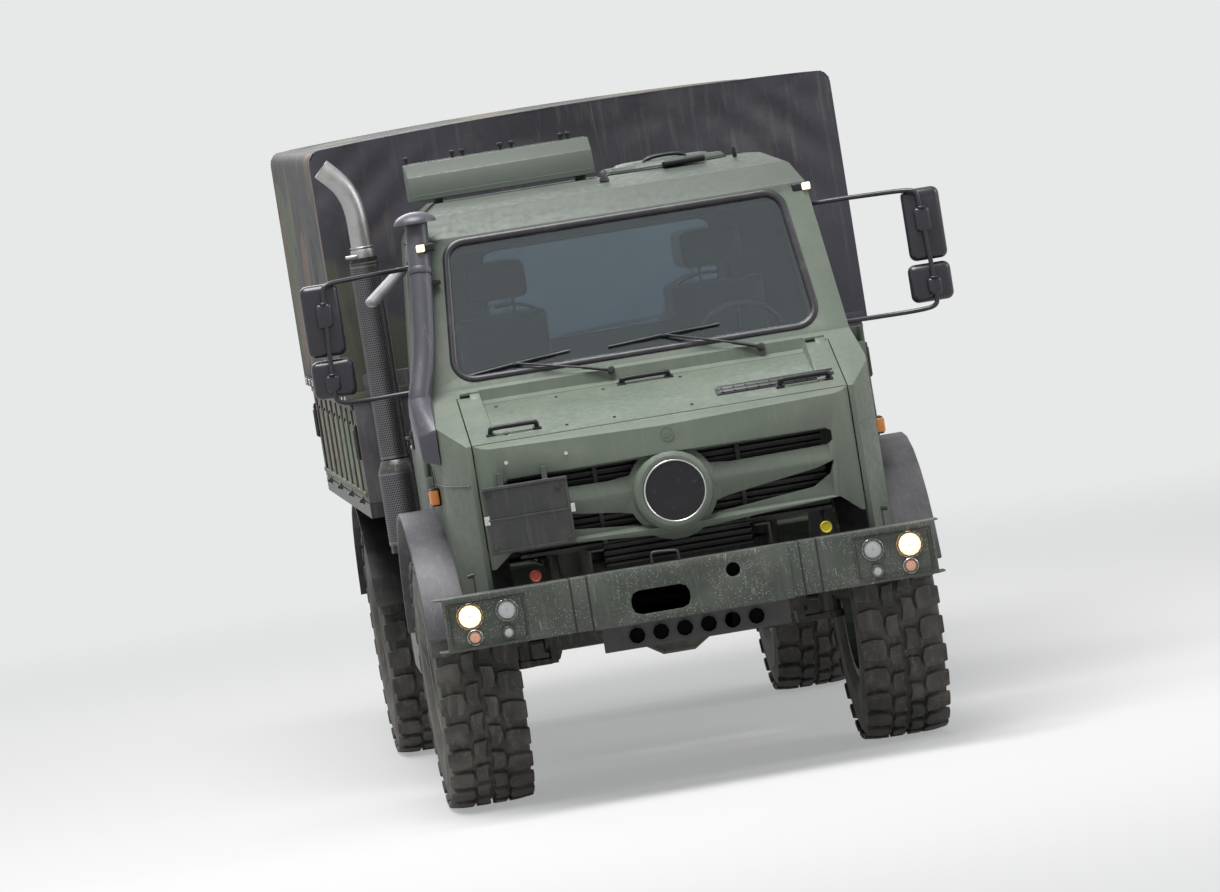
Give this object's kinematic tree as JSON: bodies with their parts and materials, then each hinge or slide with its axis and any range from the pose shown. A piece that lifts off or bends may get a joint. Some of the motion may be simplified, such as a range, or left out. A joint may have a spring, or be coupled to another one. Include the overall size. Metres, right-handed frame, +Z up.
{
  "type": "four-wheel-drive military cargo truck",
  "caption": "Off-road cargo truck with a short-nosed cab, a canvas-covered cargo bed and portal axles; wheels, steering, doors, lids and bed boards move.",
  "frame": {"origin": "on the ground, midway along and across the truck", "axes": "+Z up, -Y towards the front of the truck, +X towards its left side"},
  "size_m": [3.005, 6.4, 3.15],
  "materials": {
    "cab_paint": "matt",
    "camouflage_paint": "matt",
    "chassis_steel": "matt",
    "cast_metal": "rough",
    "dark_metal": "matt",
    "black_plastic": "matt",
    "lamp_glass": "gloss",
    "window_glass": "clear",
    "exhaust_black": "matt",
    "exhaust_silver": "weathered",
    "seat_cloth": "woven",
    "bed_wood": "worn",
    "canvas": "coated cloth",
    "tyre_rubber": "matt"
  },
  "bodies": {
    "chassis": {"ladder_frame": "chassis_steel", "engine_and_gearbox": "cast_metal", "radiator": "dark_metal", "front_axle": "cast_metal", "rear_axle": "cast_metal", "front_bumper": "cab_paint", "headlamps_left": "lamp_glass", "headlamps_right": "lamp_glass", "cab_body": "cab_paint", "windscreen": "window_glass", "rear_window": "window_glass", "front_mask": "cab_paint", "folding_plate": "dark_metal", "front_mudguard_left": "black_plastic", "front_mudguard_right": "black_plastic", "air_intake_snorkel": "black_plastic", "exhaust_stack": "exhaust_black", "exhaust_tail_pipe": "exhaust_silver", "mirrors_left": "black_plastic", "mirrors_right": "black_plastic", "roof_locker": "cab_paint", "driver_seat": "seat_cloth", "passenger_seat": "seat_cloth", "steering_wheel": "black_plastic", "battery_box": "cab_paint", "fuel_tank": "cab_paint", "bed_floor": "bed_wood", "bed_headboard": "camouflage_paint", "canvas_cover": "canvas", "canvas_hoops": "chassis_steel", "rear_underrun_bar": "chassis_steel"},
    "knuckle_left": {"knuckle_left": "cast_metal"},
    "knuckle_right": {"knuckle_right": "cast_metal"},
    "tie_rod": {"tie_rod": "chassis_steel"},
    "wheel_front_left": {"tyre_front_left": "tyre_rubber", "rim_front_left": "cab_paint"},
    "wheel_front_right": {"tyre_front_right": "tyre_rubber", "rim_front_right": "cab_paint"},
    "wheel_rear_left": {"tyre_rear_left": "tyre_rubber", "rim_rear_left": "cab_paint"},
    "wheel_rear_right": {"tyre_rear_right": "tyre_rubber", "rim_rear_right": "cab_paint"},
    "door_left": {"door_left": "cab_paint", "door_glass_left": "window_glass"},
    "door_right": {"door_right": "cab_paint", "door_glass_right": "window_glass"},
    "hood": {"hood": "cab_paint"},
    "roof_hatch": {"roof_hatch": "cab_paint"},
    "side_board_left": {"side_board_left": "camouflage_paint"},
    "side_board_right": {"side_board_right": "camouflage_paint"},
    "tailgate": {"tailgate": "camouflage_paint"}
  },
  "joints": [
    {"name": "steer_right", "type": "hinge", "parent": "chassis", "child": "knuckle_right", "pos_m": [-0.73, -2.05, 0.72], "axis": [0, 0, 1], "range_deg": [-33, 33]},
    {"name": "steer_left", "type": "hinge", "parent": "chassis", "child": "knuckle_left", "pos_m": [0.73, -2.05, 0.72], "axis": [0, 0, 1], "range_deg": [-33, 33]},
    {"name": "tie_rod_pivot", "type": "hinge", "parent": "knuckle_right", "child": "tie_rod", "pos_m": [-0.73, -1.82, 0.6955], "axis": [0, 0, 1], "range_deg": [-33, 33]},
    {"name": "wheel_front_left_spin", "type": "hinge", "parent": "knuckle_left", "child": "wheel_front_left", "pos_m": [0.98, -2.05, 0.59], "axis": [1, 0, 0], "continuous": true},
    {"name": "wheel_front_right_spin", "type": "hinge", "parent": "knuckle_right", "child": "wheel_front_right", "pos_m": [-0.98, -2.05, 0.59], "axis": [1, 0, 0], "continuous": true},
    {"name": "wheel_rear_left_spin", "type": "hinge", "parent": "chassis", "child": "wheel_rear_left", "pos_m": [0.98, 1.8, 0.59], "axis": [1, 0, 0], "continuous": true},
    {"name": "wheel_rear_right_spin", "type": "hinge", "parent": "chassis", "child": "wheel_rear_right", "pos_m": [-0.98, 1.8, 0.59], "axis": [1, 0, 0], "continuous": true},
    {"name": "door_left_hinge", "type": "hinge", "parent": "chassis", "child": "door_left", "pos_m": [1.046, -2.286, 1.11], "axis": [0, 0, -1], "range_deg": [0, 70]},
    {"name": "door_right_hinge", "type": "hinge", "parent": "chassis", "child": "door_right", "pos_m": [-1.046, -2.286, 1.11], "axis": [0, 0, 1], "range_deg": [0, 70]},
    {"name": "hood_hinge", "type": "hinge", "parent": "chassis", "child": "hood", "pos_m": [0, -2.477, 1.91539], "axis": [-1, 0, 0], "range_deg": [0, 55]},
    {"name": "roof_hatch_hinge", "type": "hinge", "parent": "chassis", "child": "roof_hatch", "pos_m": [0.3311, -1.1357, 2.804], "axis": [-1, 0, 0], "range_deg": [0, 90]},
    {"name": "side_board_left_hinge", "type": "hinge", "parent": "chassis", "child": "side_board_left", "pos_m": [1.259, 1.25, 1.4], "axis": [0, 1, 0], "range_deg": [0, 170]},
    {"name": "side_board_right_hinge", "type": "hinge", "parent": "chassis", "child": "side_board_right", "pos_m": [-1.259, 1.25, 1.4], "axis": [0, -1, 0], "range_deg": [0, 170]},
    {"name": "tailgate_hinge", "type": "hinge", "parent": "chassis", "child": "tailgate", "pos_m": [0, 3.164, 1.4], "axis": [-1, 0, 0], "range_deg": [0, 170]}
  ],
  "couplings": [
    {"joint": "steer_left", "follows": "steer_right", "ratio": 1},
    {"joint": "tie_rod_pivot", "follows": "steer_right", "ratio": -1}
  ]
}
